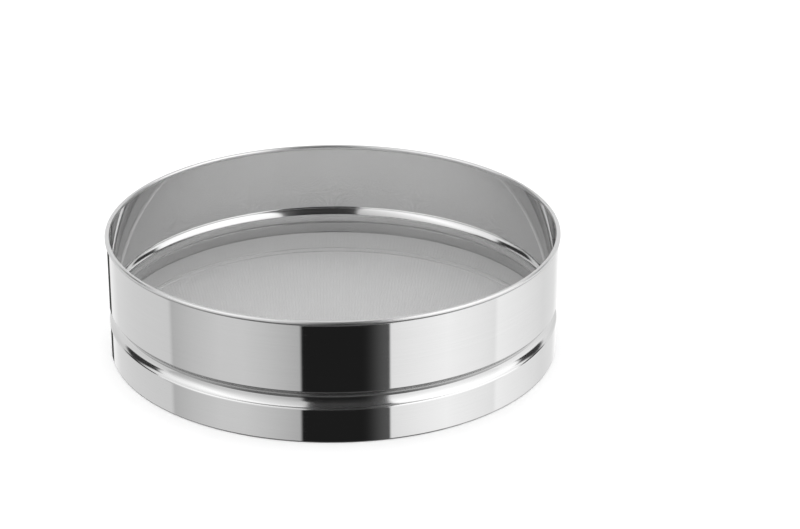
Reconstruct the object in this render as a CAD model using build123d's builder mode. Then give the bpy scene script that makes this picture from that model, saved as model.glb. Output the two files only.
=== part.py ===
"""Stainless drum sieve: a rolled steel hoop with a woven wire screen clamped in its skirt.

The model is in millimetres, +Z up. Its origin is on the hoop's axis, at the plane it stands on.
Every piece is a body of revolution about Z, drawn as a section in the XZ plane.
"""

import math
import os

from build123d import *

# ---- Overall sizes
RIM_RADIUS = 150.0
OVERALL_HEIGHT = 82.7

# ---- Sheet metal of the hoop
SHEET = 0.8
WALL_SET_BACK = 1.0
RIM_ROLL_RADIUS = 1.6
RIM_NECK_BEND = 0.4
FOOT_HEM_HEIGHT = 3.2
FOOT_CORNER = 1.0
HEM_END_ROUND = 0.25

# ---- Stiffening bead, a groove rolled in from outside
BEAD_HEIGHT = 28.65
BEAD_WIDTH = 13.3
BEAD_DEPTH = 4.0
BEAD_CORNER = 1.5

# ---- Screen: woven cloth between two rings
CLOTH_HEIGHT = 15.6
CLOTH_THICKNESS = 0.56
RING_THICKNESS = 1.0

# ---- Clearances
RIM_ROLL_GAP = 0.15
RING_FIT = 0.05
CLOTH_EDGE_GAP = 0.15

# ---- Radii and heights that follow from the sizes above
wall_outer = RIM_RADIUS - WALL_SET_BACK
wall_inner = wall_outer - SHEET
ring_outer = wall_inner - RING_FIT
ring_inner = ring_outer - RING_THICKNESS
foot_leaf_outer = ring_inner - RING_FIT
foot_leaf_inner = foot_leaf_outer - SHEET
foot_corner_inside = FOOT_CORNER - SHEET

bead_half = BEAD_WIDTH / 2
bead_low = BEAD_HEIGHT - bead_half
bead_high = BEAD_HEIGHT + bead_half

# The groove's arc and its corner arcs touch where the line between their centres crosses them.
arc_centres_apart = (bead_half**2 + BEAD_DEPTH**2) / (2 * BEAD_DEPTH)
groove_radius = arc_centres_apart - BEAD_CORNER
flank_angle = math.degrees(math.asin(bead_half / arc_centres_apart))
groove_centre_x = wall_outer - BEAD_DEPTH + groove_radius
corner_centre_x = wall_outer - BEAD_CORNER
corner_inside = BEAD_CORNER - SHEET
nose_radius = groove_radius + SHEET

cloth_under = CLOTH_HEIGHT - CLOTH_THICKNESS / 2
cloth_top = CLOTH_HEIGHT + CLOTH_THICKNESS / 2
clamp_ring_foot = SHEET

os.makedirs("parts", exist_ok=True)


def on_corner(height, radius, angle):
    """Point on a bead corner's arc, where angle runs up from straight outwards."""
    turn = math.radians(angle)
    return (corner_centre_x + radius * math.cos(turn), height + radius * math.sin(turn))


def bead_side(corner_radius, arc_radius, wall_x):
    """Draws one face of the sheet down through the bead, from the wall above to the wall below."""
    nose = (groove_centre_x - arc_radius, BEAD_HEIGHT)
    upper_flank = on_corner(bead_high, corner_radius, -flank_angle)
    lower_flank = on_corner(bead_low, corner_radius, flank_angle)
    ThreePointArc((wall_x, bead_high), on_corner(bead_high, corner_radius, -flank_angle / 2), upper_flank)
    ThreePointArc(upper_flank, nose, lower_flank)
    ThreePointArc(lower_flank, on_corner(bead_low, corner_radius, flank_angle / 2), (wall_x, bead_low))


# ---- Hoop: one strip, rolled over at the rim, beaded, and folded in over the clamp ring at the foot
# The wall bends inwards at the neck, and the roll curls back outwards round its own centre.
roll_centre_x = RIM_RADIUS - RIM_ROLL_RADIUS
roll_centre_z = OVERALL_HEIGHT - RIM_ROLL_RADIUS
roll_inside = RIM_ROLL_RADIUS - SHEET
roll_middle = RIM_ROLL_RADIUS - SHEET / 2
neck_outside = RIM_NECK_BEND + SHEET
neck_middle = RIM_NECK_BEND + SHEET / 2
neck_centre_x = wall_inner - RIM_NECK_BEND
neck_to_roll = neck_middle + roll_middle
neck_angle = math.degrees(math.acos((roll_centre_x - neck_centre_x) / neck_to_roll))
neck_centre_z = roll_centre_z - neck_to_roll * math.sin(math.radians(neck_angle))

# The roll's round end stops short of the neck, where the three centres make a triangle.
end_to_neck = neck_outside + RIM_ROLL_GAP + SHEET / 2
end_turn = math.degrees(
    math.acos((neck_to_roll**2 + roll_middle**2 - end_to_neck**2) / (2 * neck_to_roll * roll_middle))
)
roll_start_angle = neck_angle - 180
roll_end_angle = neck_angle + end_turn - 180


def on_roll(radius, angle):
    """Point on the roll's arc, where angle runs up from straight outwards."""
    turn = math.radians(angle)
    return (roll_centre_x + radius * math.cos(turn), roll_centre_z + radius * math.sin(turn))


def on_neck(radius, angle):
    """Point on the neck's arc, where angle runs up from straight outwards."""
    turn = math.radians(angle)
    return (neck_centre_x + radius * math.cos(turn), neck_centre_z + radius * math.sin(turn))


def roll_side(radius, start, end):
    """Draws one face of the roll, from the angle start to the angle end."""
    ThreePointArc(on_roll(radius, start), on_roll(radius, (start + end) / 2), on_roll(radius, end))


with BuildPart() as drum_hoop:
    with BuildSketch(Plane.XZ):
        with BuildLine():
            # Inner face, down from the neck to the bead and on to the foot's fold
            Line(on_neck(RIM_NECK_BEND, 0), (wall_inner, bead_high))
            bead_side(corner_inside, nose_radius, wall_inner)
            Line((wall_inner, bead_low), (wall_inner, FOOT_CORNER))
            RadiusArc(
                (wall_inner, FOOT_CORNER),
                (wall_inner - foot_corner_inside, SHEET),
                foot_corner_inside,
            )
            Line((wall_inner - foot_corner_inside, SHEET), (foot_leaf_outer + foot_corner_inside, SHEET))
            RadiusArc(
                (foot_leaf_outer + foot_corner_inside, SHEET),
                (foot_leaf_outer, FOOT_CORNER),
                foot_corner_inside,
            )
            Line((foot_leaf_outer, FOOT_CORNER), (foot_leaf_outer, FOOT_HEM_HEIGHT))
            Line((foot_leaf_outer, FOOT_HEM_HEIGHT), (foot_leaf_inner, FOOT_HEM_HEIGHT))
            # Outer face, back under the foot and up to the neck
            Line((foot_leaf_inner, FOOT_HEM_HEIGHT), (foot_leaf_inner, FOOT_CORNER))
            RadiusArc((foot_leaf_inner, FOOT_CORNER), (foot_leaf_inner + FOOT_CORNER, 0), -FOOT_CORNER)
            Line((foot_leaf_inner + FOOT_CORNER, 0), (wall_outer - FOOT_CORNER, 0))
            RadiusArc((wall_outer - FOOT_CORNER, 0), (wall_outer, FOOT_CORNER), -FOOT_CORNER)
            Line((wall_outer, FOOT_CORNER), (wall_outer, bead_low))
            bead_side(BEAD_CORNER, groove_radius, wall_outer)
            Line((wall_outer, bead_high), on_neck(neck_outside, 0))
            # Neck and roll: out along the inside of the roll, round its end, and back over the top
            ThreePointArc(
                on_neck(neck_outside, 0),
                on_neck(neck_outside, neck_angle / 2),
                on_neck(neck_outside, neck_angle),
            )
            roll_side(roll_inside, roll_start_angle + 360, roll_end_angle)
            end_tip_angle = roll_end_angle - math.degrees(SHEET / 2 / roll_middle)
            ThreePointArc(
                on_roll(roll_inside, roll_end_angle),
                on_roll(roll_middle, end_tip_angle),
                on_roll(RIM_ROLL_RADIUS, roll_end_angle),
            )
            roll_side(RIM_ROLL_RADIUS, roll_end_angle, roll_start_angle + 360)
            ThreePointArc(
                on_neck(RIM_NECK_BEND, neck_angle),
                on_neck(RIM_NECK_BEND, neck_angle / 2),
                on_neck(RIM_NECK_BEND, 0),
            )
        make_face()
    revolve(axis=Axis.Z)
    leaf_end_edges = drum_hoop.edges().filter_by(
        lambda e: abs(e.center(CenterOf.BOUNDING_BOX).Z - FOOT_HEM_HEIGHT) < 1e-6
    )
    fillet(leaf_end_edges, radius=min(HEM_END_ROUND, 0.4 * SHEET))
drum_hoop.part.label = "drum_hoop"
export_step(drum_hoop.part, "parts/drum_hoop.step")

# ---- Screen ring: stands on the cloth, with its top edge bedded against the underside of the bead
bed_radius = nose_radius + RING_FIT
bed_shoulder_radius = corner_inside - RING_FIT
bed_shoulder = on_corner(bead_low, bed_shoulder_radius, flank_angle)
bed_rise = math.sqrt(bed_radius**2 - (groove_centre_x - ring_inner) ** 2)
screen_ring_top = BEAD_HEIGHT - bed_rise

with BuildPart() as screen_ring:
    with BuildSketch(Plane.XZ):
        with BuildLine():
            Line((ring_inner, cloth_top), (ring_inner, screen_ring_top))
            RadiusArc((ring_inner, screen_ring_top), bed_shoulder, -bed_radius)
            ThreePointArc(
                bed_shoulder,
                on_corner(bead_low, bed_shoulder_radius, flank_angle / 2),
                (ring_outer, bead_low),
            )
            Line((ring_outer, bead_low), (ring_outer, cloth_top))
            Line((ring_outer, cloth_top), (ring_inner, cloth_top))
        make_face()
    revolve(axis=Axis.Z)
screen_ring.part.label = "screen_ring"
export_step(screen_ring.part, "parts/screen_ring.step")

# ---- Wire cloth: the disc that the woven wires fill
with BuildPart() as wire_cloth:
    with BuildSketch(Plane.XY.offset(cloth_under)):
        Circle(ring_outer - CLOTH_EDGE_GAP)
    extrude(amount=CLOTH_THICKNESS)
wire_cloth.part.label = "wire_cloth"
export_step(wire_cloth.part, "parts/wire_cloth.step")

# ---- Clamp ring: holds the cloth up from below and stands in the foot's fold
with BuildPart() as clamp_ring:
    with BuildSketch(Plane.XY.offset(clamp_ring_foot)):
        Circle(ring_outer)
        Circle(ring_inner, mode=Mode.SUBTRACT)
    extrude(amount=cloth_under - clamp_ring_foot)
    clamp_foot_edges = clamp_ring.edges().group_by(Axis.Z)[0]
    fillet(clamp_foot_edges, radius=foot_corner_inside + RING_FIT)
clamp_ring.part.label = "clamp_ring"
export_step(clamp_ring.part, "parts/clamp_ring.step")
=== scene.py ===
"""Looks of a drum sieve: a polished steel hoop, its two screen rings and a truly woven wire cloth.

Everything is in metres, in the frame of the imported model, with +Z up. Sizes that the frame holds are
read from it, and the rest are the dataclass fields of each sub-assembly.
"""

import logging
import math
from dataclasses import dataclass, field
from enum import Enum
from typing import Iterable

import bmesh
import bpy
from mathutils import Matrix, Vector


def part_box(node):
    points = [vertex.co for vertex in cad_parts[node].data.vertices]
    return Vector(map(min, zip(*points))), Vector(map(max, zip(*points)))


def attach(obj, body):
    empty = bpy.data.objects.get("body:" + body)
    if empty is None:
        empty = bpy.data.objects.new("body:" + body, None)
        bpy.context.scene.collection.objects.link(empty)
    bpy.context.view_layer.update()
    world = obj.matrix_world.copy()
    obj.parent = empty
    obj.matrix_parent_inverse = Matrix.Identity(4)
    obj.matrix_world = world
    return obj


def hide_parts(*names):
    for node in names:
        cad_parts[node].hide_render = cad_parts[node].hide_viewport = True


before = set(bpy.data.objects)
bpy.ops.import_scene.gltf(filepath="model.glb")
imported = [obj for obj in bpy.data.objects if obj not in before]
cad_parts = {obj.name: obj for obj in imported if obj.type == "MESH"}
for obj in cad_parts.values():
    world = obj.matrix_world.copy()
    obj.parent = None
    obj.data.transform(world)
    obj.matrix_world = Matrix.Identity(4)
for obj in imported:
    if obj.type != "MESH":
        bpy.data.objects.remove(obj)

LOG = logging.getLogger("drum_sieve")
MM = 0.001
BODY = "root"
RING_THICKNESS = 1.0 * MM
NOISE_RANGE = (0.3, 0.7)

Point = tuple[float, float]


# ---------------------------------------------------------------------------------------------
# Sections and turned shapes
# ---------------------------------------------------------------------------------------------
@dataclass
class Outline:
    """Closed section of a turned piece, as points of radius and height.

    A straight stretch gets a support point near each end, so that its face stays true
    beside a rounded corner when it is smooth shaded.
    """

    points: list[Point] = field(default_factory=list)
    support: float = 0.12 * MM
    turn_per_step: float = math.radians(6.0)

    def start(self, radius: float, height: float) -> "Outline":
        """Sets the first point."""
        self.points.append((radius, height))
        return self

    def line_to(self, radius: float, height: float) -> "Outline":
        """Adds a straight stretch from the last point.

        Args:
            radius: The end's distance from the axis.
            height: The end's height.

        Returns:
            The outline itself.
        """
        begin = Vector(self.points[-1])
        end = Vector((radius, height))
        length = (end - begin).length
        if length > 6 * self.support:
            along = (end - begin) / length * self.support
            self.points.append(tuple(begin + along))
            self.points.append(tuple(end - along))
        self.points.append(tuple(end))
        return self

    def arc(self, centre: Point, radius: float, start: float, end: float) -> "Outline":
        """Adds a round stretch that begins at the last point.

        Args:
            centre: The arc's centre, as radius and height.
            radius: The arc's own radius.
            start: The angle of its first point, in degrees up from straight outwards.
            end: The angle of its last point.

        Returns:
            The outline itself.
        """
        first, last = math.radians(start), math.radians(end)
        steps = max(3, math.ceil(abs(last - first) / self.turn_per_step))
        for step in range(1, steps + 1):
            turn = first + (last - first) * step / steps
            place = (centre[0] + radius * math.cos(turn), centre[1] + radius * math.sin(turn))
            self.points.append(place)
        return self


def turned(name: str, outline: Outline, steps: int, sharp: float = 50.0) -> bpy.types.Object:
    """Spins a closed section about Z into a smooth shaded solid.

    Args:
        name: The new object's name.
        outline: The section, whose last point meets its first.
        steps: How many faces go round.
        sharp: Edges that turn by more than this many degrees stay crisp.

    Returns:
        The object, linked to the scene.
    """
    points = outline.points
    if (Vector(points[0]) - Vector(points[-1])).length < 0.001 * MM:
        points = points[:-1]
    bm = bmesh.new()
    loop = [bm.verts.new((radius, 0, height)) for radius, height in points]
    for here, after in zip(loop, loop[1:] + loop[:1]):
        bm.edges.new((here, after))
    bmesh.ops.spin(
        bm,
        geom=bm.edges[:],
        cent=(0, 0, 0),
        axis=(0, 0, 1),
        angle=math.tau,
        steps=steps,
        use_merge=True,
    )
    bmesh.ops.recalc_face_normals(bm, faces=bm.faces)
    return finished(name, bm, sharp)


def finished(name: str, bm: bmesh.types.BMesh, sharp: float = 50.0) -> bpy.types.Object:
    """Makes a linked, smooth shaded object of a bmesh and frees the bmesh."""
    for face in bm.faces:
        face.smooth = True
    for edge in bm.edges:
        if len(edge.link_faces) == 2 and edge.calc_face_angle() > math.radians(sharp):
            edge.smooth = False
    mesh = bpy.data.meshes.new(name)
    bm.to_mesh(mesh)
    bm.free()
    piece = bpy.data.objects.new(name, mesh)
    bpy.context.scene.collection.objects.link(piece)
    return piece


# ---------------------------------------------------------------------------------------------
# Finishes
# ---------------------------------------------------------------------------------------------
class NodeBoard:
    """Short way to lay out and join shader nodes in one tree."""

    def __init__(self, tree: bpy.types.NodeTree) -> None:
        """Empties the tree and keeps it."""
        tree.nodes.clear()
        self.tree = tree

    def add(self, kind: str, **settings: object) -> bpy.types.Node:
        """Adds a node and sets its properties by name."""
        node = self.tree.nodes.new(kind)
        for name, value in settings.items():
            setattr(node, name, value)
        return node

    def join(self, source: bpy.types.NodeSocket, target: bpy.types.NodeSocket) -> None:
        """Links an output to an input."""
        self.tree.links.new(source, target)

    def feed(self, target: bpy.types.NodeSocket, value: object) -> None:
        """Links or sets an input, whichever the value is."""
        if isinstance(value, bpy.types.NodeSocket):
            self.join(value, target)
        else:
            target.default_value = value

    def maths(self, operation: str, *values: object) -> bpy.types.NodeSocket:
        """Adds a Math node.

        Args:
            operation: Its operation.
            values: Numbers or outputs for its inputs, in order.

        Returns:
            Its output.
        """
        node = self.add("ShaderNodeMath", operation=operation)
        for target, value in zip(node.inputs, values):
            self.feed(target, value)
        return node.outputs[0]

    def smooth_step(self, value: object, low: float, high: float) -> bpy.types.NodeSocket:
        """Rises smoothly from 0 at low to 1 at high, or falls where low is the higher."""
        node = self.add("ShaderNodeMapRange", interpolation_type="SMOOTHSTEP", clamp=True)
        self.feed(node.inputs["Value"], value)
        flip = low > high
        node.inputs["From Min"].default_value = high if flip else low
        node.inputs["From Max"].default_value = low if flip else high
        node.inputs["To Min"].default_value = 1.0 if flip else 0.0
        node.inputs["To Max"].default_value = 0.0 if flip else 1.0
        return node.outputs[0]

    def between(self, value: object, low: float, high: float, blur: float) -> bpy.types.NodeSocket:
        """Is 1 from low to high and 0 outside, with each edge blurred by as much both ways."""
        rising = self.smooth_step(value, low - blur, low + blur)
        falling = self.smooth_step(value, high + blur, high - blur)
        return self.maths("MULTIPLY", rising, falling)

    def span(self, value: object, low: float, high: float, out: Point) -> bpy.types.NodeSocket:
        """Maps a value from the range low to high onto the range out, and clamps it."""
        node = self.add("ShaderNodeMapRange", clamp=True)
        self.feed(node.inputs["Value"], value)
        node.inputs["From Min"].default_value = low
        node.inputs["From Max"].default_value = high
        node.inputs["To Min"].default_value = out[0]
        node.inputs["To Max"].default_value = out[1]
        return node.outputs[0]

    def blend(self, share: object, first: object, second: object) -> bpy.types.NodeSocket:
        """Goes from the first number to the second as share goes from 0 to 1."""
        node = self.add("ShaderNodeMix", data_type="FLOAT")
        self.feed(node.inputs[0], share)
        self.feed(node.inputs[2], first)
        self.feed(node.inputs[3], second)
        return node.outputs[0]

    def ramp(self, value: object, stops: Iterable[Point]) -> bpy.types.NodeSocket:
        """Reads grey tones from stops of position and tone."""
        node = self.add("ShaderNodeValToRGB")
        self.feed(node.inputs[0], value)
        elements = node.color_ramp.elements
        stops = sorted(stops)
        while len(elements) < len(stops):
            elements.new(1.0)
        for element, (place, tone) in zip(elements, stops):
            element.position = place
            element.color = (tone, tone, tone, 1.0)
        return node.outputs[0]

    def noise(self, vector: bpy.types.NodeSocket, stretch: Vector, detail: float) -> bpy.types.NodeSocket:
        """Adds noise on stretched coordinates and returns its value."""
        mapping = self.add("ShaderNodeMapping")
        mapping.inputs["Scale"].default_value = stretch
        self.join(vector, mapping.inputs["Vector"])
        node = self.add("ShaderNodeTexNoise")
        node.inputs["Scale"].default_value = 1.0
        node.inputs["Detail"].default_value = detail
        self.join(mapping.outputs[0], node.inputs["Vector"])
        return node.outputs[0]


@dataclass(frozen=True)
class WorkedZone:
    """A height range where rolling has left the steel less polished than the flat sheet."""

    low: float
    high: float
    added_roughness: float
    blend: float = 0.6 * MM


@dataclass(frozen=True)
class DullShadedFlank:
    """The flank of an outer groove that faces outwards and down: rougher, and darkened in colour as
    painted shade.
    """

    low: float
    high: float
    # how far the flank's colour is darkened, as painted shade
    painted_shade_share: float
    added_roughness: float
    blend: float = 0.3 * MM
    tilt: Point = (-0.2, -0.55)
    outward: Point = (0.0, 0.01)

    def mask(
        self, board: NodeBoard, spots: bpy.types.Node, height: bpy.types.NodeSocket
    ) -> bpy.types.NodeSocket:
        """Finds the flank.

        Args:
            board: The material's nodes.
            spots: Its texture coordinates.
            height: Output that holds the height.

        Returns:
            Output that is 1 on the flank and 0 elsewhere.
        """
        facing = board.add("ShaderNodeSeparateXYZ")
        board.join(spots.outputs["Normal"], facing.inputs[0])
        outward = board.add("ShaderNodeVectorMath", operation="DOT_PRODUCT")
        board.join(spots.outputs["Normal"], outward.inputs[0])
        board.join(spots.outputs["Object"], outward.inputs[1])
        tilted = board.smooth_step(facing.outputs["Z"], *self.tilt)
        outside = board.smooth_step(outward.outputs["Value"], *self.outward)
        inside = board.between(height, self.low, self.high, self.blend)
        return board.maths("MULTIPLY", board.maths("MULTIPLY", tilted, outside), inside)


@dataclass(frozen=True)
class SteelFinish:
    """Stainless steel with the fine lines and faint haze that its polishing leaves."""

    name: str
    tone: Point
    roughness: Point
    line_pitch: float
    line_length: float
    line_depth: float
    haze_size: float = 45 * MM
    haze_share: float = 0.45
    zones: tuple[WorkedZone, ...] = ()
    flanks: tuple[DullShadedFlank, ...] = ()

    def material(self) -> bpy.types.Material:
        """Builds the material.

        Returns:
            A metal whose tone, roughness and fine relief come from its polishing lines, with painted
            shade darkening the tone on its dull flanks.
        """
        made = bpy.data.materials.new(self.name)
        made.use_nodes = True
        board = NodeBoard(made.node_tree)
        spots = board.add("ShaderNodeTexCoord")
        place = spots.outputs["Object"]
        across, along = 1 / self.line_length, 1 / self.line_pitch
        lines = board.noise(place, Vector((across, across, along)), 3.0)
        haze = board.noise(place, Vector.Fill(3, 1 / self.haze_size), 2.0)
        wear = board.blend(self.haze_share, lines, haze)

        axes = board.add("ShaderNodeSeparateXYZ")
        board.join(place, axes.inputs[0])
        height = axes.outputs["Z"]
        roughness = board.span(wear, *NOISE_RANGE, self.roughness)
        for zone in self.zones:
            inside = board.between(height, zone.low, zone.high, zone.blend)
            roughness = board.maths("MULTIPLY_ADD", inside, zone.added_roughness, roughness)
        tone = board.span(wear, *NOISE_RANGE, self.tone)
        for flank in self.flanks:
            shade = flank.mask(board, spots, height)
            roughness = board.maths("MULTIPLY_ADD", shade, flank.added_roughness, roughness)
            # painted shade: the flank's colour is darkened to stand in for the shade in the groove
            tone = board.maths("MULTIPLY", tone, board.blend(shade, 1.0, flank.painted_shade_share))

        shader = board.add("ShaderNodeBsdfPrincipled")
        shader.inputs["Metallic"].default_value = 1.0
        board.join(tone, shader.inputs["Base Color"])
        board.join(roughness, shader.inputs["Roughness"])
        bump = board.add("ShaderNodeBump")
        bump.inputs["Strength"].default_value = 1.0
        bump.inputs["Distance"].default_value = self.line_depth
        board.join(lines, bump.inputs["Height"])
        board.join(bump.outputs[0], shader.inputs["Normal"])
        output = board.add("ShaderNodeOutputMaterial")
        board.join(shader.outputs[0], output.inputs["Surface"])
        return made


@dataclass(frozen=True)
class WireFinish:
    """Fine drawn wire, whose dull skin scatters most of the light that it gets."""

    name: str
    tone: Point
    roughness: float
    metallic: float
    mottle: float

    def material(self) -> bpy.types.Material:
        """Builds the material.

        Returns:
            A dull metal, a little uneven from wire to wire.
        """
        made = bpy.data.materials.new(self.name)
        made.use_nodes = True
        board = NodeBoard(made.node_tree)
        place = board.add("ShaderNodeTexCoord").outputs["Object"]
        mottle = board.noise(place, Vector.Fill(3, 1 / self.mottle), 2.0)
        shader = board.add("ShaderNodeBsdfPrincipled")
        shader.inputs["Metallic"].default_value = self.metallic
        shader.inputs["Roughness"].default_value = self.roughness
        tones = board.ramp(mottle, zip(NOISE_RANGE, self.tone))
        board.join(tones, shader.inputs["Base Color"])
        output = board.add("ShaderNodeOutputMaterial")
        board.join(shader.outputs[0], output.inputs["Surface"])
        return made


MIRROR_STEEL = SteelFinish(
    name="mirror_polished_steel",
    tone=(0.74, 0.78),
    roughness=(0.02, 0.06),
    line_pitch=0.5 * MM,
    line_length=60 * MM,
    line_depth=0.0004 * MM,
    zones=(
        WorkedZone(low=79.5 * MM, high=90 * MM, added_roughness=0.24),
        WorkedZone(low=22.5 * MM, high=34.8 * MM, added_roughness=0.06),
    ),
    # the groove's upper outer flank is rougher, and its colour is darkened as painted shade
    flanks=(DullShadedFlank(low=28.6 * MM, high=36 * MM, painted_shade_share=0.62, added_roughness=0.20),),
)
RING_STEEL = SteelFinish(
    name="ring_steel",
    tone=(0.66, 0.72),
    roughness=(0.08, 0.16),
    line_pitch=0.4 * MM,
    line_length=30 * MM,
    line_depth=0.0006 * MM,
)
WIRE_STEEL = WireFinish(
    name="drawn_wire_steel",
    tone=(0.48, 0.54),
    roughness=0.55,
    metallic=0.15,
    mottle=1.1 * MM,
)


# ---------------------------------------------------------------------------------------------
# The hoop
# ---------------------------------------------------------------------------------------------
@dataclass
class DrumHoop:
    """The hoop: rolled rim, straight wall, stiffening bead, skirt and folded foot."""

    rim_radius: float
    height: float
    sheet: float = 0.8 * MM
    wall_set_back: float = 1.0 * MM
    roll_radius: float = 1.6 * MM
    roll_gap: float = 0.05 * MM
    neck_bend: float = 0.4 * MM
    bead_height: float = 28.65 * MM
    bead_width: float = 13.3 * MM
    bead_depth: float = 4.0 * MM
    bead_corner: float = 1.5 * MM
    foot_hem_height: float = 3.2 * MM
    foot_corner: float = 1.0 * MM
    foot_hem_gap: float = 1.1 * MM
    hem_end_round: float = 0.25 * MM
    steps_round: int = 280

    @property
    def wall_outer(self) -> float:
        """Radius of the wall's outer face."""
        return self.rim_radius - self.wall_set_back

    @property
    def wall_inner(self) -> float:
        """Radius of the wall's inner face."""
        return self.wall_outer - self.sheet

    def _through_bead(self, outline: Outline, outer: bool, downwards: bool) -> None:
        """Draws one face of the sheet through the bead, between its two corners.

        Args:
            outline: The outline, whose last point is at the bead's first corner.
            outer: True for the outer face, whose groove is the tighter arc.
            downwards: True from the upper corner to the lower one.
        """
        half = self.bead_width / 2
        apart = (half**2 + self.bead_depth**2) / (2 * self.bead_depth)
        flank = math.degrees(math.asin(half / apart))
        groove = apart - self.bead_corner
        corner = self.bead_corner if outer else self.bead_corner - self.sheet
        nose = groove if outer else groove + self.sheet
        corner_x = self.wall_outer - self.bead_corner
        nose_centre = (self.wall_outer - self.bead_depth + groove, self.bead_height)
        way = 1 if downwards else -1
        first = (corner_x, self.bead_height + way * half)
        second = (corner_x, self.bead_height - way * half)
        outline.arc(first, corner, 0, -way * flank)
        outline.arc(nose_centre, nose, 180 - way * flank, 180 + way * flank)
        outline.arc(second, corner, way * flank, 0)

    def _foot_fold(self, outline: Outline) -> None:
        """Draws the fold under the clamp ring, from the wall's inner face round to its outer one."""
        inside = self.foot_corner - self.sheet
        leaf_outer = self.wall_inner - self.foot_hem_gap
        leaf_inner = leaf_outer - self.sheet
        end = self.hem_end_round
        top = self.foot_hem_height
        outline.line_to(self.wall_inner, self.foot_corner)
        outline.arc((self.wall_inner - inside, self.foot_corner), inside, 0, -90)
        outline.line_to(leaf_outer + inside, self.sheet)
        outline.arc((leaf_outer + inside, self.foot_corner), inside, 270, 180)
        outline.line_to(leaf_outer, top - end)
        outline.arc((leaf_outer - end, top - end), end, 0, 90)
        outline.line_to(leaf_inner + end, top)
        outline.arc((leaf_inner + end, top - end), end, 90, 180)
        outline.line_to(leaf_inner, self.foot_corner)
        outline.arc((leaf_inner + self.foot_corner, self.foot_corner), self.foot_corner, 180, 270)
        outline.line_to(self.wall_outer - self.foot_corner, 0)
        outline.arc((self.wall_outer - self.foot_corner, self.foot_corner), self.foot_corner, -90, 0)

    @property
    def neck_centre(self) -> Point:
        """Centre of the neck's arc, where the wall bends inwards into the roll."""
        across, distance = self._roll_offset()
        height = self.height - self.roll_radius - math.sqrt(distance**2 - across**2)
        return (self.wall_inner - self.neck_bend, height)

    def _roll_offset(self) -> Point:
        """Finds how far the roll's centre is from the neck's, outwards and in a straight line."""
        across = self.rim_radius - self.roll_radius - self.wall_inner + self.neck_bend
        return (across, self.neck_bend + self.roll_radius)

    def _rim_roll(self, outline: Outline) -> None:
        """Draws the roll, from the wall's outer face round its inside and back over its outside."""
        across, distance = self._roll_offset()
        neck = self.neck_centre
        roll = (self.rim_radius - self.roll_radius, self.height - self.roll_radius)
        turn = math.degrees(math.acos(across / distance))
        middle = self.roll_radius - self.sheet / 2
        reach = self.neck_bend + 1.5 * self.sheet + self.roll_gap
        end_turn = math.acos((distance**2 + middle**2 - reach**2) / (2 * distance * middle))
        end = turn + math.degrees(end_turn) - 180
        tip = (
            roll[0] + middle * math.cos(math.radians(end)),
            roll[1] + middle * math.sin(math.radians(end)),
        )
        outline.line_to(self.wall_outer, neck[1])
        outline.arc(neck, self.neck_bend + self.sheet, 0, turn)
        outline.arc(roll, self.roll_radius - self.sheet, turn + 180, end)
        outline.arc(tip, self.sheet / 2, end + 180, end + 360)
        outline.arc(roll, self.roll_radius, end, turn + 180)
        outline.arc(neck, self.neck_bend, turn, 0)

    def section(self) -> Outline:
        """Draws the whole sheet in section.

        Returns:
            The closed outline, which runs down the inner face and back up the outer one.
        """
        half = self.bead_width / 2
        outline = Outline().start(self.wall_inner, self.neck_centre[1])
        outline.line_to(self.wall_inner, self.bead_height + half)
        self._through_bead(outline, outer=False, downwards=True)
        self._foot_fold(outline)
        outline.line_to(self.wall_outer, self.bead_height - half)
        self._through_bead(outline, outer=True, downwards=False)
        self._rim_roll(outline)
        return outline

    def build(self) -> bpy.types.Object:
        """Makes the hoop."""
        return turned("hoop", self.section(), self.steps_round)

    def dress(self, hoop: bpy.types.Object) -> None:
        """Polishes the hoop and puts it in the node's place."""
        hoop.data.materials.append(MIRROR_STEEL.material())
        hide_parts("drum_hoop")
        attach(hoop, BODY)


# ---------------------------------------------------------------------------------------------
# The two rings that hold the cloth
# ---------------------------------------------------------------------------------------------
@dataclass
class ScreenRings:
    """The narrow ring above the cloth and the taller one under it."""

    outer: float
    inner: float
    cloth_top: float
    cloth_under: float
    screen_ring_top: float
    clamp_ring_foot: float
    bed_angle: float = 33.0
    edge_round: float = 0.2 * MM
    steps_round: int = 288

    def _band(self, low: float, high: float, bed: float) -> Outline:
        """Draws an upright band in section.

        Args:
            low: Height of its lower edge.
            high: Height of its upper edge, at the inner face.
            bed: How far the upper edge falls towards the outer face.

        Returns:
            The closed outline, with rounded edges.
        """
        r = self.edge_round
        outline = Outline().start(self.inner, high - r)
        outline.line_to(self.inner, low + r)
        outline.arc((self.inner + r, low + r), r, 180, 270)
        outline.line_to(self.outer - r, low)
        outline.arc((self.outer - r, low + r), r, -90, 0)
        outline.line_to(self.outer, high - bed - r)
        slope = math.degrees(math.atan2(bed, self.outer - self.inner))
        outline.arc((self.outer - r, high - bed - r), r, 0, 90 - slope)
        outline.arc((self.inner + r, high - r), r, 90 - slope, 180)
        return outline

    def build(self) -> tuple[bpy.types.Object, bpy.types.Object]:
        """Makes the screen ring and the clamp ring."""
        bed = (self.outer - self.inner) * math.tan(math.radians(self.bed_angle))
        upper = self._band(self.cloth_top, self.screen_ring_top, bed)
        lower = self._band(self.clamp_ring_foot, self.cloth_under, 0.0)
        return (
            turned("screen_ring_band", upper, self.steps_round),
            turned("clamp_ring_band", lower, self.steps_round),
        )

    def dress(self, screen_ring: bpy.types.Object, clamp_ring: bpy.types.Object) -> None:
        """Gives both rings their finish and puts them in their nodes' places."""
        steel = RING_STEEL.material()
        for ring, node in ((screen_ring, "screen_ring"), (clamp_ring, "clamp_ring")):
            ring.data.materials.append(steel)
            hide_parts(node)
            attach(ring, BODY)


# ---------------------------------------------------------------------------------------------
# The woven cloth
# ---------------------------------------------------------------------------------------------
class Thread(Enum):
    """The two directions of wire in a plain weave."""

    WARP = "warp"
    WEFT = "weft"


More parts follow.
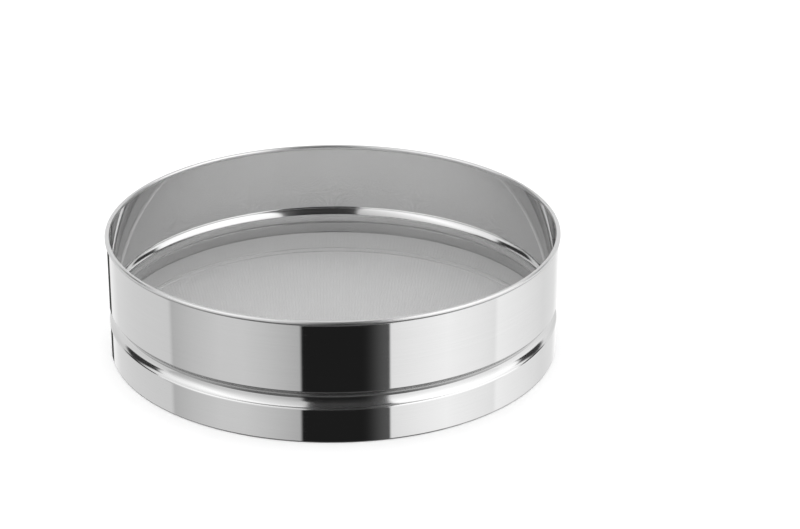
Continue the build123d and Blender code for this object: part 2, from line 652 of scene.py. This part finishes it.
@dataclass
class WireCloth:
    """Plain-woven round cloth, in which every wire goes over one crossing wire and under the next."""

    radius: float
    middle: float
    pitch: float = 1.0 * MM
    wire: float = 0.28 * MM
    sides: int = 4
    strips: int = 4

    @property
    def wires_across(self) -> int:
        """How many wires lie side by side across the cloth, an even number."""
        return 2 * math.ceil(self.radius / self.pitch)

    def _master(self) -> bpy.types.Mesh:
        """Makes one wire along Y over the whole cloth, waving over and under at each crossing.

        Returns:
            Its mesh, centred on the origin.
        """
        count = self.wires_across
        swing = self.wire / 2
        bm = bmesh.new()
        made = bmesh.ops.create_circle(bm, segments=self.sides, radius=swing)
        start = Vector((0, (0.5 - count / 2) * self.pitch, swing))
        bmesh.ops.rotate(bm, verts=made["verts"], matrix=Matrix.Rotation(math.pi / 2, 3, "X"))
        bmesh.ops.translate(bm, verts=made["verts"], vec=start)
        ring = bm.edges[:]
        for crossing in range(1, count):
            grown = bmesh.ops.extrude_edge_only(bm, edges=ring)["geom"]
            verts = [item for item in grown if isinstance(item, bmesh.types.BMVert)]
            ring = [
                item
                for item in grown
                if isinstance(item, bmesh.types.BMEdge) and all(v in verts for v in item.verts)
            ]
            wave = -2 * swing if crossing % 2 else 2 * swing
            bmesh.ops.translate(bm, verts=verts, vec=(0, self.pitch, wave))
        bmesh.ops.recalc_face_normals(bm, faces=bm.faces)
        mesh = bpy.data.meshes.new("master_wire")
        bm.to_mesh(mesh)
        bm.free()
        return mesh

    def _cut_wire(self, master: bpy.types.Mesh, offset: float, flipped: bool) -> bpy.types.Mesh:
        """Cuts a copy of the master wire to its length in the round cloth, with closed ends.

        Args:
            master: The full-length wire.
            offset: How far it lies from the cloth's middle line.
            flipped: True if it goes under where the master goes over.

        Returns:
            The wire's own mesh, in its place across the cloth.
        """
        reach = math.sqrt(self.radius**2 - offset**2)
        bm = bmesh.new()
        bm.from_mesh(master)
        if flipped:
            bmesh.ops.scale(bm, verts=bm.verts, vec=(1, 1, -1))
            bmesh.ops.reverse_faces(bm, faces=bm.faces)
        bmesh.ops.translate(bm, verts=bm.verts, vec=(offset, 0, 0))
        for side in (-1, 1):
            cut = bmesh.ops.bisect_plane(
                bm,
                geom=bm.verts[:] + bm.edges[:] + bm.faces[:],
                plane_co=(0, side * reach, 0),
                plane_no=(0, side, 0),
                clear_outer=True,
            )["geom_cut"]
            rim = [item for item in cut if isinstance(item, bmesh.types.BMEdge)]
            bmesh.ops.edgeloop_fill(bm, edges=rim)
        mesh = bpy.data.meshes.new("cut_wire")
        bm.to_mesh(mesh)
        bm.free()
        return mesh

    def _strip(self, thread: Thread, number: int, master: bpy.types.Mesh) -> bpy.types.Object:
        """Makes the wires of one strip of the cloth.

        Args:
            thread: Which way they run.
            number: Which strip, counted from one side.
            master: The full-length wire.

        Returns:
            The strip as one object of separate closed wires.
        """
        count = self.wires_across
        edges = [round(count * share / self.strips) for share in range(self.strips + 1)]
        bm = bmesh.new()
        for index in range(edges[number], edges[number + 1]):
            offset = (index + 0.5 - count / 2) * self.pitch
            if abs(offset) > self.radius - self.pitch:
                continue
            wire = self._cut_wire(master, offset, flipped=bool(index % 2))
            bm.from_mesh(wire)
            bpy.data.meshes.remove(wire)
        if thread is Thread.WEFT:
            bmesh.ops.rotate(bm, verts=bm.verts, matrix=Matrix.Rotation(-math.pi / 2, 3, "Z"))
            bmesh.ops.scale(bm, verts=bm.verts, vec=(1, 1, -1))
            bmesh.ops.reverse_faces(bm, faces=bm.faces)
        bmesh.ops.translate(bm, verts=bm.verts, vec=(0, 0, self.middle))
        return finished(f"{thread.value}_wires_{number + 1}", bm, sharp=100.0)

    def build(self) -> list[bpy.types.Object]:
        """Weaves the cloth, in strips that each stay light enough to hand on."""
        master = self._master()
        made = [self._strip(thread, n, master) for thread in Thread for n in range(self.strips)]
        bpy.data.meshes.remove(master)
        return made

    def dress(self, strips: list[bpy.types.Object]) -> None:
        """Gives the wires their finish and puts them in the cloth node's place."""
        steel = WIRE_STEEL.material()
        for strip in strips:
            strip.data.materials.append(steel)
            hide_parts("wire_cloth")
            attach(strip, BODY)


# ---------------------------------------------------------------------------------------------
# Studio
# ---------------------------------------------------------------------------------------------
@dataclass(frozen=True)
class DarkWindow:
    """A gap between two panels of the tent, which leans away from the camera as it rises."""

    azimuth: Point
    rise: Point
    lean: float = 0.0
    tone: float = 0.045
    soft: Point = (5.0, 5.0)


@dataclass(frozen=True)
class LightTent:
    """White light tent with an open slot in front, side walls and two soft boxes above them.

    Polished steel shows the tent, and everything else is lit evenly. An azimuth counts from the
    slot, in degrees, and is positive to the right. A rise counts up from level, in degrees. Tones
    are linear.
    """

    even_light: float = 1.5
    backdrop: float = 0.96
    slot_left: float = 0.1357
    slot_left_high: float = 0.113
    slot_right: float = 0.23
    slot_spread: float = 0.94
    slot_dark: Point = (0.0145, 0.036)
    slot_dark_rise: Point = (10.0, 45.0)
    slot_left_rise: Point = (0.0, 25.0)
    slot_edge: float = 0.11
    slot_edge_start: float = 0.45
    slot_edge_power: float = 1.6
    slot_blur: Point = (0.008, 0.006)
    slot_back: Point = (0.16, 0.10)
    slot_foot: Point = (-62.0, -38.0)
    box_rise: Point = (-14.0, 46.0)
    zenith_rise: Point = (58.0, 86.0)
    table_rise: Point = (-27.5, -32.5)
    nadir_rise: Point = (-42.0, -68.0)
    zenith: float = 1.02
    nadir: float = 0.12
    side_walls: tuple[Point, ...] = (
        (-180, 1.05),
        (-169, 1.00),
        (-154, 0.98),
        (-142, 0.82),
        (-110, 0.76),
        (-90.5, 0.74),
        (-89.3, 0.54),
        (-76, 0.64),
        (-59, 0.73),
        (-46, 0.73),
        (-34, 0.66),
        (-25, 0.59),
        (-15, 0.50),
        (28, 0.94),
        (42, 1.04),
        (59, 1.13),
        (84, 0.99),
        (89.5, 0.95),
        (90.5, 1.09),
        (109, 0.99),
        (134, 0.84),
        (152, 0.86),
        (168, 1.10),
        (180, 1.10),
    )
    soft_boxes: tuple[Point, ...] = (
        (-180, 0.68),
        (-138, 0.70),
        (-124, 0.93),
        (-96, 1.12),
        (-72, 1.36),
        (-48, 1.03),
        (-16, 0.72),
        (22, 1.15),
        (48, 1.40),
        (100, 1.45),
        (120, 1.25),
        (150, 0.70),
        (180, 0.68),
    )
    table: tuple[Point, ...] = (
        (-180, 0.42),
        (-110, 0.38),
        (-84, 0.42),
        (-66, 0.29),
        (-50, 0.15),
        (0, 0.11),
        (40, 0.14),
        (58, 0.30),
        (80, 0.54),
        (110, 0.60),
        (180, 0.42),
    )
    gaps: tuple[DarkWindow, ...] = (
        DarkWindow(azimuth=(-132, -101), rise=(9.5, 36), lean=-0.58, tone=0.035, soft=(2.5, 3.0)),
        DarkWindow(azimuth=(109, 133), rise=(7.5, 34), lean=0.58, tone=0.035, soft=(2.5, 3.0)),
        DarkWindow(azimuth=(-166.5, -158), rise=(-40, -14), tone=0.05, soft=(1.0, 4.0)),
    )

    def _window(self, board: NodeBoard, gap: DarkWindow, azimuth: object, rise: object) -> object:
        """Builds the mask of one dark gap.

        Args:
            board: The world's nodes.
            gap: The gap.
            azimuth: Output that holds the azimuth in degrees.
            rise: Output that holds the rise in degrees.

        Returns:
            Output that is 1 inside the gap and 0 outside it.
        """
        middle = (gap.rise[0] + gap.rise[1]) / 2
        leaned = board.maths("MULTIPLY_ADD", board.maths("SUBTRACT", rise, middle), -gap.lean, azimuth)
        sideways = board.between(leaned, *gap.azimuth, gap.soft[0])
        upright = board.between(rise, *gap.rise, gap.soft[1])
        return board.maths("MULTIPLY", sideways, upright)

    def _slot(self, board: NodeBoard, x: object, y: object, rise: object) -> tuple[object, object]:
        """Builds the open slot, which goes up in front of the sieve and over it.

        Args:
            board: The world's nodes.
            x: Output that holds the direction's share to the right.
            y: Output that holds the direction's share away from the camera.
            rise: Output that holds the rise in degrees.

        Returns:
            Outputs that hold the slot's mask and its tone.
        """
        level = board.maths("COSINE", board.maths("RADIANS", rise))
        width = board.maths("MULTIPLY_ADD", level, self.slot_spread, 1.0)
        across = board.maths("DIVIDE", x, width)
        higher = board.smooth_step(rise, *self.slot_left_rise)
        left = board.blend(higher, -self.slot_left, -self.slot_left_high)
        from_left = board.maths("SUBTRACT", across, left)
        blur_left, blur_right = self.slot_blur
        mask = board.smooth_step(from_left, -blur_left, blur_left)
        for part in (
            board.smooth_step(across, self.slot_right + blur_right, self.slot_right - blur_right),
            board.smooth_step(y, *self.slot_back),
            board.smooth_step(rise, *self.slot_foot),
        ):
            mask = board.maths("MULTIPLY", mask, part)
        depth = board.blend(board.smooth_step(rise, *self.slot_dark_rise), *self.slot_dark)
        fringe = board.smooth_step(across, self.slot_edge_start * self.slot_right, self.slot_right)
        edge = board.maths("POWER", fringe, self.slot_edge_power)
        return mask, board.blend(edge, depth, self.slot_edge)

    def build(self) -> None:
        """Makes the world's light."""
        world = bpy.data.worlds.new("light_tent")
        bpy.context.scene.world = world
        world.use_nodes = True
        board = NodeBoard(world.node_tree)
        way = board.add("ShaderNodeTexCoord").outputs["Generated"]
        axes = board.add("ShaderNodeSeparateXYZ")
        board.join(way, axes.inputs[0])
        x, y, z = axes.outputs
        turn = board.maths("ARCTAN2", x, board.maths("MULTIPLY", y, -1.0))
        share = board.span(turn, -math.pi, math.pi, (0.0, 1.0))
        azimuth = board.maths("DEGREES", turn)
        rise = board.maths("DEGREES", board.maths("ARCSINE", z))

        low = board.ramp(share, self._stops(self.side_walls))
        high = board.ramp(share, self._stops(self.soft_boxes))
        high = board.blend(board.smooth_step(rise, *self.zenith_rise), high, self.zenith)
        table = board.ramp(share, self._stops(self.table))
        table = board.blend(board.smooth_step(rise, *self.nadir_rise), table, self.nadir)
        tent = board.blend(board.smooth_step(rise, *self.box_rise), low, high)
        tent = board.blend(board.smooth_step(rise, *self.table_rise), tent, table)
        for gap in self.gaps:
            tent = board.blend(self._window(board, gap, azimuth, rise), tent, gap.tone)
        slot, slot_tone = self._slot(board, x, y, rise)
        tent = board.blend(slot, tent, slot_tone)

        path = board.add("ShaderNodeLightPath")
        seen = board.blend(path.outputs["Is Camera Ray"], self.even_light, self.backdrop)
        light = board.blend(path.outputs["Is Glossy Ray"], seen, tent)
        background = board.add("ShaderNodeBackground")
        background.inputs["Color"].default_value = (1.0, 1.0, 1.0, 1.0)
        board.join(light, background.inputs["Strength"])
        output = board.add("ShaderNodeOutputWorld")
        board.join(background.outputs[0], output.inputs["Surface"])

    @staticmethod
    def _stops(panels: Iterable[Point]) -> list[Point]:
        """Turns azimuths into positions on a ramp that goes once round."""
        return [((azimuth + 180.0) / 360.0, tone) for azimuth, tone in panels]


@dataclass(frozen=True)
class Studio:
    """Plain pale floor and the camera."""

    floor_size: float = 8.0
    floor_tone: float = 0.93
    inner_floor_radius: float = 144 * MM
    inner_floor_steps: int = 96
    floor_gap: float = 0.02 * MM
    distance: float = 1.584
    elevation: float = 24.33
    roll: float = -0.45
    aim_height: float = 39.7 * MM
    lens: float = 106.9
    shift: Point = (0.0837, 0.0256)

    def build_floor(self) -> None:
        """Lays the floor, and a disc of it inside the hoop.

        The outside of the hoop mirrors the tent in place of the floor, as on a glass-topped
        stand. The inside mirrors the disc, which closes the view down through the cloth.
        """
        bm = bmesh.new()
        bmesh.ops.create_grid(bm, x_segments=1, y_segments=1, size=self.floor_size / 2)
        bmesh.ops.translate(bm, verts=bm.verts, vec=(0, 0, -2 * self.floor_gap))
        floor = finished("floor", bm)
        bm = bmesh.new()
        bmesh.ops.create_circle(
            bm, cap_ends=True, segments=self.inner_floor_steps, radius=self.inner_floor_radius
        )
        bmesh.ops.translate(bm, verts=bm.verts, vec=(0, 0, -self.floor_gap))
        disc = finished("floor_inside_hoop", bm)
        made = bpy.data.materials.new("pale_floor")
        made.use_nodes = True
        board = NodeBoard(made.node_tree)
        shader = board.add("ShaderNodeBsdfDiffuse")
        shader.inputs["Color"].default_value = (self.floor_tone,) * 3 + (1.0,)
        output = board.add("ShaderNodeOutputMaterial")
        board.join(shader.outputs[0], output.inputs["Surface"])
        floor.visible_glossy = False
        for piece in (floor, disc):
            piece.data.materials.append(made)

    def build_camera(self) -> None:
        """Sets the camera on its circle round the sieve, with its slight roll."""
        data = bpy.data.cameras.new("camera")
        data.lens = self.lens
        data.shift_x, data.shift_y = self.shift
        data.clip_end = 20.0
        camera = bpy.data.objects.new("camera", data)
        bpy.context.scene.collection.objects.link(camera)
        angle = math.radians(self.elevation)
        back = Vector((0, -math.cos(angle), math.sin(angle)))
        aim = Matrix.Translation(Vector((0, 0, self.aim_height)) + back * self.distance)
        turn = back.to_track_quat("Z", "Y").to_matrix().to_4x4()
        camera.matrix_world = aim @ turn @ Matrix.Rotation(math.radians(self.roll), 4, "Z")
        bpy.context.scene.camera = camera


def report(pieces: Iterable[bpy.types.Object]) -> None:
    """Logs each piece's name and how many triangles it has."""
    for piece in pieces:
        piece.data.calc_loop_triangles()
        LOG.info("%s: %d triangles", piece.name, len(piece.data.loop_triangles))


def main() -> None:
    """Builds and dresses every sub-assembly, then the studio."""
    logging.basicConfig(level=logging.INFO, format="%(name)s %(message)s")
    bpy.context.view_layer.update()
    bpy.context.scene.view_settings.view_transform = "Standard"

    hoop_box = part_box("drum_hoop")
    hoop_maker = DrumHoop(rim_radius=hoop_box[1].x, height=hoop_box[1].z)
    hoop = hoop_maker.build()
    hoop_maker.dress(hoop)

    screen_box, clamp_box, cloth_box = (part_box(n) for n in ("screen_ring", "clamp_ring", "wire_cloth"))
    ring_maker = ScreenRings(
        outer=screen_box[1].x,
        inner=screen_box[1].x - RING_THICKNESS,
        cloth_top=screen_box[0].z,
        cloth_under=clamp_box[1].z,
        screen_ring_top=screen_box[1].z,
        clamp_ring_foot=clamp_box[0].z,
    )
    rings = ring_maker.build()
    ring_maker.dress(*rings)

    cloth_maker = WireCloth(radius=cloth_box[1].x, middle=(cloth_box[0].z + cloth_box[1].z) / 2)
    strips = cloth_maker.build()
    cloth_maker.dress(strips)

    report([hoop, *rings, *strips])
    LightTent().build()
    studio = Studio()
    studio.build_floor()
    studio.build_camera()


if __name__ == "__main__":
    main()
